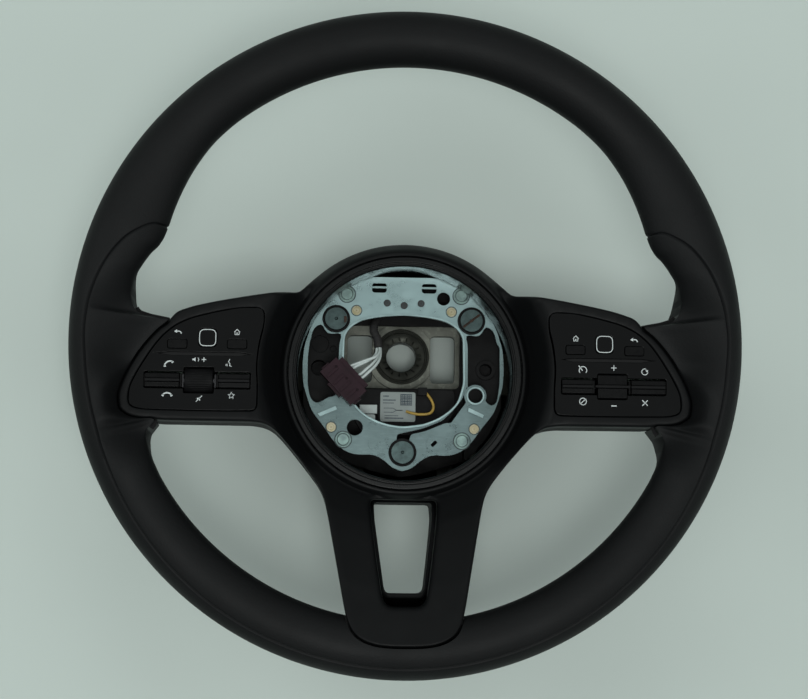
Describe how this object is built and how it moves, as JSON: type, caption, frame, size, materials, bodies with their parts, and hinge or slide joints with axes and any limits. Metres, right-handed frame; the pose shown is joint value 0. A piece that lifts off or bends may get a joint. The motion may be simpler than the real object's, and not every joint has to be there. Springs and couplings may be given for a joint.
{
  "type": "car steering wheel",
  "caption": "Three-spoke steering wheel with the airbag left out: leather rim, switch panels on the side spokes, slotted lower spoke, sprung airbag plate and open hub.",
  "frame": {"origin": "on the axis of the shaft bore, at the rear face of its boss", "axes": "+Z along the steering axis towards the driver, +Y towards twelve o'clock, +X towards three o'clock"},
  "size_m": [0.3694, 0.3696, 0.1218],
  "materials": {
    "cast_magnesium": "sand cast, dull grey brown",
    "boss_steel": "turned, dull",
    "grip_leather": "black grained leather, satin",
    "trim_plastic": "satin black moulding",
    "cover_plastic": "fine grained black moulding",
    "dark_steel": "blackened",
    "carrier_plastic": "black glass filled moulding",
    "label": "white film",
    "white_plastic": "off white moulding",
    "bolt_steel": "turned, zinc plated",
    "spring_steel": "drawn wire",
    "brass": "tinned brass, dull",
    "zinc_sheet": "zinc plated sheet, blue grey",
    "bush_plastic": "black",
    "rivet_zinc": "zinc plated, pale green grey",
    "sleeve": "black cloth tape",
    "white_wire": "white insulation",
    "plum_plastic": "dark plum moulding",
    "yellow_wire": "yellow insulation",
    "gloss_black": "piano black",
    "case_plastic": "black moulding",
    "board": "green circuit board",
    "key_plastic": "satin black",
    "roller_plastic": "soft black, ribbed"
  },
  "bodies": {
    "wheel": {"armature": "cast_magnesium", "hub_casting": "cast_magnesium", "wing_covers": "cover_plastic", "spoke_cover": "cover_plastic", "rim_core": "dark_steel", "shaft_boss": "boss_steel", "rim_grip": "grip_leather", "front_trim": "trim_plastic", "hub_liner": "trim_plastic", "rear_cover": "cover_plastic", "rear_screws": "dark_steel", "carrier": "carrier_plastic", "control_unit": "carrier_plastic", "unit_label": "label", "unit_latch": "white_plastic", "guide_bolts": "bolt_steel", "horn_springs": "spring_steel", "horn_contacts": "brass", "harness_sleeve": "sleeve", "harness_wires": "white_wire", "harness_connector": "plum_plastic", "sensor_wire": "yellow_wire", "wire_clip": "carrier_plastic", "left_panel": "gloss_black", "left_case": "case_plastic", "left_board": "board", "right_panel": "gloss_black", "right_case": "case_plastic", "right_board": "board", "module_screws": "dark_steel"},
    "horn_plate": {"airbag_plate": "zinc_sheet", "guide_bushes": "bush_plastic", "plate_rivets": "rivet_zinc", "contact_studs": "brass", "plate_pins": "dark_steel"},
    "left_pad_body": {"left_pad": "gloss_black"},
    "left_home_body": {"left_home_key": "key_plastic"},
    "left_back_body": {"left_back_key": "key_plastic"},
    "right_pad_body": {"right_pad": "gloss_black"},
    "right_home_body": {"right_home_key": "key_plastic"},
    "right_back_body": {"right_back_key": "key_plastic"},
    "call_body": {"call_rocker": "key_plastic"},
    "voice_body": {"voice_rocker": "key_plastic"},
    "limit_body": {"limit_rocker": "key_plastic"},
    "resume_body": {"resume_rocker": "key_plastic"},
    "speed_body": {"speed_rocker": "key_plastic"},
    "mute_body": {"roller_yoke": "case_plastic"},
    "roller_body": {"volume_roller": "roller_plastic"}
  },
  "joints": [
    {"name": "horn_press", "type": "slide", "parent": "wheel", "child": "horn_plate", "axis": [0, 0, -1], "range_m": [0, 0.0012], "stiffness_N_per_m": 12000, "springref_m": -0.0008, "deforming": ["horn_springs"]},
    {"name": "left_pad_body_press", "type": "slide", "parent": "wheel", "child": "left_pad_body", "axis": [0, 0, -1], "range_m": [0, 0.0005], "stiffness_N_per_m": 900, "springref_m": -0.0003},
    {"name": "left_home_body_press", "type": "slide", "parent": "wheel", "child": "left_home_body", "axis": [0, 0, -1], "range_m": [0, 0.0005], "stiffness_N_per_m": 900, "springref_m": -0.0003},
    {"name": "left_back_body_press", "type": "slide", "parent": "wheel", "child": "left_back_body", "axis": [0, 0, -1], "range_m": [0, 0.0005], "stiffness_N_per_m": 900, "springref_m": -0.0003},
    {"name": "right_pad_body_press", "type": "slide", "parent": "wheel", "child": "right_pad_body", "axis": [0, 0, -1], "range_m": [0, 0.0005], "stiffness_N_per_m": 900, "springref_m": -0.0003},
    {"name": "right_home_body_press", "type": "slide", "parent": "wheel", "child": "right_home_body", "axis": [0, 0, -1], "range_m": [0, 0.0005], "stiffness_N_per_m": 900, "springref_m": -0.0003},
    {"name": "right_back_body_press", "type": "slide", "parent": "wheel", "child": "right_back_body", "axis": [0, 0, -1], "range_m": [0, 0.0005], "stiffness_N_per_m": 900, "springref_m": -0.0003},
    {"name": "call_body_tilt", "type": "hinge", "parent": "wheel", "child": "call_body", "pos_m": [0, -0.0238, 0.084], "axis": [1, 0, 0], "range_deg": [-4, 4], "stiffness_Nm_per_rad": 0.25},
    {"name": "voice_body_tilt", "type": "hinge", "parent": "wheel", "child": "voice_body", "pos_m": [0, -0.0238, 0.084], "axis": [1, 0, 0], "range_deg": [-4, 4], "stiffness_Nm_per_rad": 0.25},
    {"name": "limit_body_tilt", "type": "hinge", "parent": "wheel", "child": "limit_body", "pos_m": [0, -0.0238, 0.084], "axis": [1, 0, 0], "range_deg": [-4, 4], "stiffness_Nm_per_rad": 0.25},
    {"name": "resume_body_tilt", "type": "hinge", "parent": "wheel", "child": "resume_body", "pos_m": [0, -0.0238, 0.084], "axis": [1, 0, 0], "range_deg": [-4, 4], "stiffness_Nm_per_rad": 0.25},
    {"name": "speed_body_tilt", "type": "hinge", "parent": "wheel", "child": "speed_body", "pos_m": [0, -0.0238, 0.08], "axis": [1, 0, 0], "range_deg": [-3, 3], "stiffness_Nm_per_rad": 0.25},
    {"name": "mute_body_press", "type": "slide", "parent": "wheel", "child": "mute_body", "axis": [0, 0, -1], "range_m": [0, 0.0005], "stiffness_N_per_m": 900, "springref_m": -0.0003},
    {"name": "volume_roll", "type": "hinge", "parent": "mute_body", "child": "roller_body", "pos_m": [-0.114, -0.0238, 0.0856], "axis": [1, 0, 0], "continuous": true}
  ]
}
